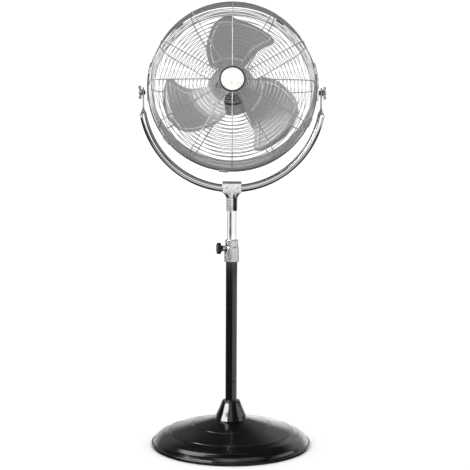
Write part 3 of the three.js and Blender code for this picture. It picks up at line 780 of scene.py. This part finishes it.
def yoke_sections():
    """Loops from one flattened end of the bent tube, round the arc, to the other.

    Each is x, z, its tilt in degrees, half its width across, its half depth and how round it is.
    """
    half_way = []
    for k in range(7):
        rise = 16 * math.cos(TAU / 4 * k / 6)
        depth = 17 * math.sqrt(max(0.06, 1 - (rise / 16.4) ** 2))
        half_way.append((TAB_X, PIVOT_Z + rise, 0.0, 2.5, depth, 0.4))
    half_way += [
        (TAB_X, 1130, 0.0, 2.5, 17, 0.4), (TAB_X, 1109, 0.0, 2.6, 17, 0.4),
        (287.4, 1103, 0.0, 3.6, 16.4, 0.6), (287.4, 1097, 0.0, 6, 15.2, 0.8),
        (287.6, 1091, -3.0, 9.4, 13.8, 0.95),
    ]
    sections = list(half_way)
    steps = 64
    for k in range(steps + 1):
        degrees = -YOKE_END - (180 - 2 * YOKE_END) / steps * k
        place = polar(YOKE_R, degrees)
        sections.append((place.x, YOKE_CENTRE_Z + place.y, degrees, YOKE_TUBE_R, YOKE_TUBE_R, 1.0))
    for x, z, degrees, half, depth, flat in reversed(half_way):
        sections.append((-x, z, -180.0 - degrees, half, depth, flat))
    return sections


def make_yoke():
    """The bent tube, whose flattened ends have a duller plating."""
    rows = []
    for x, z, degrees, half, depth, flat in yoke_sections():
        out = polar(1, degrees)
        loop = []
        for p in circle(1, YOKE_SIDES):
            across = bulge(p[0], flat)
            loop.append((x + out.x * half * across, depth * p[1], z + out.y * half * across))
        rows.append(loop)
    shape = Shape()
    shape.rows(rows)
    tab_faces = TAB_ROWS * YOKE_SIDES
    end = (len(rows) - 1) * YOKE_SIDES
    shape.slots[:tab_faces] = [1] * tab_faces
    shape.slots[end - tab_faces:end] = [1] * tab_faces
    piece("bent_yoke_tube", shape, [CHROME, TAB_CHROME], "yoke", ["yoke_tube"])


def make_socket():
    """The pressed T: its block, its top edge in dark chrome as painted shade, the shoulder below, the sleeve,
    and a dark strip on the sleeve's right as a painted reflection.
    """
    shape = Shape()
    left, right = -SOCKET_HALF, SOCKET_HALF
    shape.merge(block((left, -17, SOCKET_BOTTOM), (right, 17, SOCKET_TOP - 6), 2.2))
    # The top band takes the dark rim chrome (slot 2) as painted shade on the socket's top edge.
    shape.merge(block((left, -16.8, SOCKET_TOP - 6.6), (right, 16.8, SOCKET_TOP), 1.0), slot=2)
    rows = []
    steps = 16
    for k in range(steps + 1):
        fall = k / steps
        narrow = 1 - (1 - fall) ** 1.8
        half_x = 29.5 - 10.2 * narrow
        half_y = 16.4 + 2.8 * narrow
        flat = 0.6 + 0.4 * narrow
        z = SOCKET_BOTTOM + 2 - 18 * fall
        rows.append([(bulge(x, flat) * half_x, bulge(y, flat) * half_y, z) for x, y in circle(1, 64)])
    shape.rows(rows)
    bore = INNER_R + 0.4
    shape.lathe(rounded([(bore, SLEEVE_BOTTOM, 0.4), (SLEEVE_R, SLEEVE_BOTTOM, 0.8), (SLEEVE_R, SLEEVE_TOP),
                         (bore, SLEEVE_TOP)]))
    # A thin blackened-steel strip over the sleeve's right side: a painted dark reflection, not a fold in the
    # sheet.
    inner = [(17.5, at) for at in range(52, 11, -4)]
    outer = [(19.4, at) for at in range(12, 53, 4)]
    painted_reflection_strip = []
    for z in (SLEEVE_BOTTOM + 0.6, SOCKET_BOTTOM - 1):
        turned = [(r, math.radians(at)) for r, at in inner + outer]
        painted_reflection_strip.append([(r * math.sin(a), -r * math.cos(a), z) for r, a in turned])
    shape.rows(painted_reflection_strip, slot=1)
    piece("tee_socket", shape, [STEEL, DARK_STEEL, RIM_CHROME], "yoke", ["yoke_socket"])
    forward = Matrix.Rotation(math.radians(90), 4, "X")
    for number, x in enumerate((-18, 18), 1):
        place = STAND @ Matrix.Translation((x, -17, 850)) @ forward
        node = f"socket_rivet_{number}"
        piece(f"tee_rivet_{number}", dome(3.8, 1.7), [STEEL], "yoke", [node], place)
    for number, z in enumerate((783, 817), 1):
        place = STAND @ Matrix.Translation((0, -19.2, z)) @ forward
        node = f"socket_screw_{number}"
        piece(f"tee_screw_{number}", screw_head(4, 2.2), [STEEL], "yoke", [node], place)


def side_angle(side, degrees):
    """An angle above the horizontal on the right (side 1) or the left (side -1)."""
    return degrees if side > 0 else 180 - degrees


def pivot_place(side):
    """Stands z along the pivot, outwards from the fan's middle."""
    outward = Matrix.Rotation(math.radians(90 * side), 4, "Y")
    return STAND @ Matrix.Translation((0, 0, PIVOT_Z)) @ outward


def make_wing_nut(name, side):
    """A plated wing nut, drawn along the pivot."""
    shape = Shape()
    bore = 5.1
    shape.lathe(rounded([
        (bore, 293, 0.3), (8, 293, 0.8), (7.2, 298, 2), (6.4, 302, 0.8), (bore, 302, 0.3)]), 40)
    ear = rounded([
        (294, 5, 0.5), (300.6, 5, 1), (301.6, 10, 5), (304.2, 15, 4), (304.2, 21, 4), (299, 23.4, 4),
        (294, 21, 4), (293.6, 12, 5)])
    upright = Matrix(((0, 1, 0, 0), (0, 0, 1, 0), (1, 0, 0, 0), (0, 0, 0, 1)))
    for degrees in (160, 340):
        shape.merge(slab(ear, -1.5, 1.5, 0.9), Matrix.Rotation(math.radians(degrees), 4, "Z") @ upright)
    node = f"wing_nut_{name}"
    piece(f"{node}_plated", shape, [TAB_CHROME], node, [node], pivot_place(side))


def make_pivots():
    """On each side: the plate and stud on the cage, a bush, a washer and the wing nut."""
    for name, side in (("right", 1), ("left", -1)):
        shape = Shape()
        degrees = [side_angle(side, -8.5 + 25.5 * k / 16) for k in range(17)]
        plate = rounded([(-1.5, -11, 1), (1.5, -11, 1), (1.5, 11, 1), (-1.5, 11, 1)], steps=3)
        shape.sweep([polar(278.4, at) for at in degrees], plate, (0, 0, 1))
        add_hook(shape, side_angle(side, 11.5), 24)
        shape.rod((side * 277.6, -HEAD_RISE, 0), (side * 304, -HEAD_RISE, 0), 4.8, 32, bevel=1)
        for z in (-7, 7):
            at = polar(279.7, side_angle(side, 5), z)
            shape.merge(dome(2.4, 1.1), Matrix.Translation(at) @ turned_to(polar(1, side_angle(side, 5))))
        piece(f"pivot_plate_{name}", shape, [CHROME], "head", [f"pivot_bracket_{name}"], FAN)

        place = pivot_place(side)
        shape = Shape()
        shape.lathe(rounded([(5, 280.9), (7.5, 280.9, 0.5), (7.5, 284.5, 0.5), (5, 284.5)]), 40)
        node = f"pivot_spacer_{name}"
        piece(f"pivot_bush_{name}", shape, [BLACK], "head", [node], place)
        shape = Shape()
        shape.lathe(rounded([(5.4, 290.4), (10, 290.4, 0.5), (10, 292.6, 0.5), (5.4, 292.6)]), 40)
        node = f"pivot_washer_{name}"
        piece(f"pivot_disc_{name}", shape, [BLACK], "yoke", [node], place)
        make_wing_nut(name, side)


# ---------- stand ----------

def make_base():
    """The domed base with its two pressed steps and rolled rim, the cone round the pole, and the feet."""
    shape = Shape()
    shape.lathe(rounded([
        (20.4, 85, 0.3), (52, 85, 6), (60, 84, 12), (127.2, 67.9, 0.8), (127.9, 66.6, 0.5),
        (132.4, 66.2, 1.5), (201.8, 47.5, 0.8), (202.5, 46.2, 0.5), (206.8, 45.6, 1.5), (214, 42.6, 8),
        (228, 37.6, 24), (241, 30.6, 24), (251, 22.0, 16), (256.2, 13.6, 3), (256.8, 11.6, 0.5),
        (260.6, 11.3, 0.8), (263, 9.4, 2), (263, 3, 2.6), (261, 1.2, 0.6), (257.5, 1.2, 0.6),
        (255.4, 11, 4), (249, 20.2, 12), (238.6, 29.2, 20), (225, 36.2, 20), (200, 44.6, 10),
        (128, 63.8, 10), (58, 81.8, 10), (52, 83, 4), (20.4, 83, 0.3)]), 180)
    piece("domed_base", shape, [PAINT], "stand", ["base_cover"])

    shape = Shape()
    shape.lathe(rounded([
        (19.6, 146, 0.4), (28.2, 146, 1.4), (30.4, 144, 2.5), (31.4, 140, 5), (35.6, 129, 20),
        (42, 114, 30), (49, 99.5, 20), (52.8, 89, 4), (54.2, 85.4, 0.5), (51.9, 85.4, 0.3),
        (50.6, 89, 4), (46.9, 99, 10), (39.9, 113.4, 10), (33.5, 128, 10), (29.3, 139, 4),
        (27.6, 144, 1), (19.6, 144, 0.4)]), 120)
    piece("pole_shroud", shape, [PAINT], "stand", ["base_shroud"])

    for number in range(1, 6):
        node = f"foot_{number}"
        low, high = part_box(node)
        middle = (low + high) / 2 / MM
        reach = (high.x - low.x) / 2 / MM
        top = high.z / MM
        shape = Shape()
        shape.lathe(rounded([(0, 0.6), (reach - 6, 0.6, 0.6), (reach - 5, 0, 0.5), (reach - 2.4, 0, 1.2),
                             (reach, top, 0.3), (0, top)], closed=False), 48)
        place = STAND @ Matrix.Translation((middle.x, middle.y, 0))
        piece(f"rubber_{node}", shape, [RUBBER], "stand", [node], place)


def pipe(bore, radius, bottom, top):
    """An upright tube with softened ends."""
    shape = Shape()
    shape.lathe(rounded([(bore, bottom, 0.3), (radius, bottom, 0.5), (radius, top, 0.5), (bore, top, 0.3)]))
    return shape


def make_poles():
    outer = pipe(OUTER_BORE, OUTER_R, OUTER_BOTTOM, OUTER_TOP)
    piece("black_pole", outer, [POLE_PAINT], "stand", ["outer_pole"])
    aside = polar(OUTER_R, -65, 211)
    place = STAND @ Matrix.Translation(aside) @ turned_to((aside.x, aside.y, 0))
    screw = screw_head(3.6, 1.6)
    piece("pole_screw_head", screw, [DARK_STEEL], "stand", ["pole_screw"], place)
    inner = pipe(INNER_BORE, INNER_R, INNER_BOTTOM, INNER_TOP)
    piece("chrome_pole", inner, [CHROME], "mast", ["inner_pole"])


def make_collar():
    """The clamp collar with the boss that its lobed knob screws into."""
    axis = Vector(JOINTS["height_knob_turn"]["axis"])
    along = STAND @ Matrix.Translation((0, 0, KNOB_Z)) @ turned_to(axis)
    shape = Shape()
    shape.lathe(rounded([
        (24, 605.6, 0.8), (25, 607, 0.8), (25, 652.6, 2), (23.8, 655, 1), (22.4, 656, 0.8),
        (22.4, 677, 1.6), (20.4, 678.8, 1), (16.6, 678.8, 0.5), (16.6, 675.4), (18.8, 675.4),
        (18.8, 644.6), (16.6, 644.6), (16.6, 640.4), (19.4, 640.4), (19.4, 605.6, 0.4)]), 120)
    boss = Shape()
    boss.lathe(rounded([(4.5, 21), (9, 21), (9, 31, 1), (4.5, 31, 0.4)]), 48)
    shape.merge(boss, STAND.inverted() @ along)
    piece("clamp_collar", shape, [STEEL], "stand", ["height_collar"])

    shape = Shape()
    shape.merge(slab(wavy_circle(16.6, -1.9, 6, 144), 36, 49.6, 1.6))
    shape.lathe(rounded([
        (0, 31.3), (9.5, 31.3, 0.5), (9.5, 33.4, 0.5), (7.2, 33.8, 0.5), (7.2, 37, 0.5), (0, 37)],
        closed=False), 48)
    shape.merge(dome(6.4, 0.8), Matrix.Translation((0, 0, 49.2)))
    shape.rod((0, 0, 19.6), (0, 0, 33), 4, 24, slot=1)
    piece("clamp_knob", shape, [BLACK, STEEL], "height_knob", ["height_knob"], along)


# ---------- camera, floor and light ----------

def make_camera():
    """In front of the fan, level with the lower part of its cage, turned slightly down and to the right."""
    place = Vector((0.0, -3.4, 0.955))
    down, right, roll = 4.4, 0.178561, 0.26
    lens = bpy.data.cameras.new("camera")
    lens.sensor_width = 36.0
    lens.lens = 79.877106
    camera = bpy.data.objects.new("camera", lens)
    bpy.context.scene.collection.objects.link(camera)
    camera.matrix_world = (
        Matrix.Translation(place)
        @ Matrix.Rotation(math.radians(-right), 4, "Z")
        @ Matrix.Rotation(math.radians(90 - down), 4, "X")
        @ Matrix.Rotation(math.radians(roll), 4, "Z")
    )
    bpy.context.scene.camera = camera


def make_floor():
    bpy.ops.mesh.primitive_plane_add(size=14.0, location=(0, 0, 0))
    floor = bpy.context.object
    floor.name = "studio_floor"
    material, _, shader = new_material("floor_paper", (0.93, 0.93, 0.93), 0.0, 0.9)
    shader.inputs["Specular IOR Level"].default_value = 0.0
    floor.data.materials.append(material)
    floor.visible_glossy = False


def combine(tree, operation, *values):
    """Folds numbers and sockets together with one maths operation."""
    result = values[0]
    for value in values[1:]:
        node = tree.nodes.new("ShaderNodeMath")
        node.operation = operation
        for slot, item in enumerate((result, value)):
            if isinstance(item, (int, float)):
                node.inputs[slot].default_value = item
            else:
                tree.links.new(item, node.inputs[slot])
        result = node.outputs[0]
    return result


def band(tree, value, low, high, soft):
    """1 between low and high and 0 outside, with soft edges."""
    edges = []
    for middle in (low, high):
        node = tree.nodes.new("ShaderNodeMapRange")
        node.interpolation_type = "SMOOTHSTEP"
        node.inputs["From Min"].default_value = middle - soft
        node.inputs["From Max"].default_value = middle + soft
        tree.links.new(value, node.inputs["Value"])
        edges.append(node.outputs["Result"])
    return combine(tree, "SUBTRACT", *edges)


# The studio as glossy surfaces see it. Each row is a panel: its azimuth range, its elevation range, how soft
# its edges are, all in degrees, and its strength. Azimuth 0 is in front of the fan, and positive to the right.
PANELS = [
    (-181, 181, -5.75, -1.9, 0.15, 0.5),
    (-100, 100, -5.75, -1.3, 0.15, 0.65),
    (15, 100, -5.75, -4.6, 0.2, 0.35),
    (-28, 28, -1.3, 9, 0.6, 1.1),
    (-181, 181, -1.9, 9, 0.6, 0.14),
    (-18, 10, 12, 50, 4, 0.7),
    (-30, 60, 42, 66, 4, 0.7),
    (20, 150, -14, -6.5, 0.6, 0.5),
    (-76, -28, 16, 34, 3, 13.0),
    (60, 110, 14, 34, 3, 1.2),
    (-132, -86, 48, 78, 4, 3.0),
    (118, 166, 4, 38, 10, 0.6),
    (-166, -118, 4, 38, 10, 0.22),
    (-181, -140, -20, 14, 6, 0.5),
    (140, 181, -20, 14, 6, 0.8),
    (-56, 56, -52, -19, 4, 0.55),
]
# A dark gap in the bright horizon, which gives the inner pole its dark stripe.
DARK_GAP = (-60, -6, -4.75, -3.0)
DARK_GAP_SOFTNESS = (3.0, 0.2)
DARK_GAP_DEPTH = 0.95
AMBIENT_REFLECTION = 0.04
STUDIO_LIGHT = 1.15


def make_world():
    """An even white studio; glossy surfaces reflect its panels and the dark between them instead."""
    world = bpy.data.worlds.new("studio")
    bpy.context.scene.world = world
    world.use_nodes = True
    world.cycles.sampling_method = "NONE"
    tree = world.node_tree
    tree.nodes.clear()
    where = tree.nodes.new("ShaderNodeTexCoord")
    split = tree.nodes.new("ShaderNodeSeparateXYZ")
    tree.links.new(where.outputs["Generated"], split.inputs[0])
    x, y, z = split.outputs
    to_degrees = 360 / TAU
    forward = combine(tree, "MULTIPLY", y, -1.0)
    azimuth = combine(tree, "MULTIPLY", combine(tree, "ARCTAN2", x, forward), to_degrees)
    squares = combine(tree, "ADD", combine(tree, "MULTIPLY", x, x), combine(tree, "MULTIPLY", y, y))
    level = combine(tree, "POWER", squares, 0.5)
    elevation = combine(tree, "MULTIPLY", combine(tree, "ARCTAN2", z, level), to_degrees)
    glow = AMBIENT_REFLECTION
    for left, right, low, high, soft, strength in PANELS:
        lit = combine(tree, "MULTIPLY", band(tree, azimuth, left, right, soft),
                      band(tree, elevation, low, high, soft), strength)
        glow = combine(tree, "ADD", lit, glow)
    left, right, low, high = DARK_GAP
    soft_sides, soft_ends = DARK_GAP_SOFTNESS
    gap = combine(tree, "MULTIPLY", band(tree, azimuth, left, right, soft_sides),
                  band(tree, elevation, low, high, soft_ends), DARK_GAP_DEPTH)
    keep = combine(tree, "SUBTRACT", 1.0, gap)
    reflected = tree.nodes.new("ShaderNodeBackground")
    tree.links.new(combine(tree, "MULTIPLY", glow, keep), reflected.inputs["Strength"])
    plain = tree.nodes.new("ShaderNodeBackground")
    plain.inputs["Color"].default_value = (1, 1, 1, 1)
    reflected.inputs["Color"].default_value = (1, 1, 1, 1)
    plain.inputs["Strength"].default_value = STUDIO_LIGHT
    rays = tree.nodes.new("ShaderNodeLightPath")
    mix = tree.nodes.new("ShaderNodeMixShader")
    tree.links.new(rays.outputs["Is Glossy Ray"], mix.inputs["Fac"])
    tree.links.new(plain.outputs[0], mix.inputs[1])
    tree.links.new(reflected.outputs[0], mix.inputs[2])
    out = tree.nodes.new("ShaderNodeOutputWorld")
    tree.links.new(mix.outputs[0], out.inputs["Surface"])


# ---------- build ----------

def finish_cad_nodes():
    """The nodes that keep their CAD shape get the finish of their material slot."""
    for row in frame["record"]["subparts"]:
        data = frame["nodes"][row["node"]].data
        data.materials.clear()
        data.materials.append(FINISH[row["material_slot"]])


make_camera()
make_floor()
make_world()
bpy.context.scene.view_settings.view_transform = "Standard"
finish_cad_nodes()
make_guards()
make_clips()
make_badge()
for blade_number in (1, 2, 3):
    make_blade(blade_number)
make_hub()
make_motor()
make_controls()
make_yoke()
make_socket()
make_pivots()
make_base()
make_poles()
make_collar()
